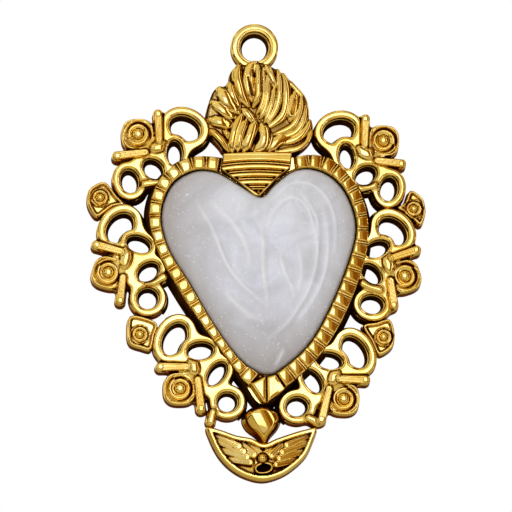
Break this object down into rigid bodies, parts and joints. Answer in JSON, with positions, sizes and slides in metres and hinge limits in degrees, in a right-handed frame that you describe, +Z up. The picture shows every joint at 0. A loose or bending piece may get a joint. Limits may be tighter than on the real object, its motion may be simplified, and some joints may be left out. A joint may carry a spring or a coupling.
{
  "type": "heart charm",
  "caption": "Hanging heart charm: domed pearl heart in a beaded bezel, flame crest with a fixed eye, and an openwork border of scrolls and rosettes",
  "frame": {"origin": "centre of the hanging eye, the point the charm hangs from", "axes": "+Z up as the charm hangs, +X to the viewer's right, the front faces -Y and the flat back faces +Y"},
  "size_m": [0.044, 0.0055, 0.0601],
  "materials": {
    "polished_gold": "polished gold plate",
    "shaded_gold": "darkened gold plate",
    "pearl": "pearly, polished",
    "clear_glue": "cured clear glue"
  },
  "bodies": {
    "root": {"adhesive_bed": "clear_glue", "bail_ring": "polished_gold", "beaded_rim": "polished_gold", "bezel_cup": "shaded_gold", "bud_drop": "polished_gold", "crown_band": "polished_gold", "flame_crest": "polished_gold", "heart_cabochon": "pearl", "rosette_left_lower": "polished_gold", "rosette_left_upper": "polished_gold", "rosette_right_lower": "polished_gold", "rosette_right_upper": "polished_gold", "scroll_left_1": "polished_gold", "scroll_left_2": "polished_gold", "scroll_left_3": "polished_gold", "scroll_right_1": "polished_gold", "scroll_right_2": "polished_gold", "scroll_right_3": "polished_gold", "wing_plaque": "polished_gold"}
  },
  "joints": []
}
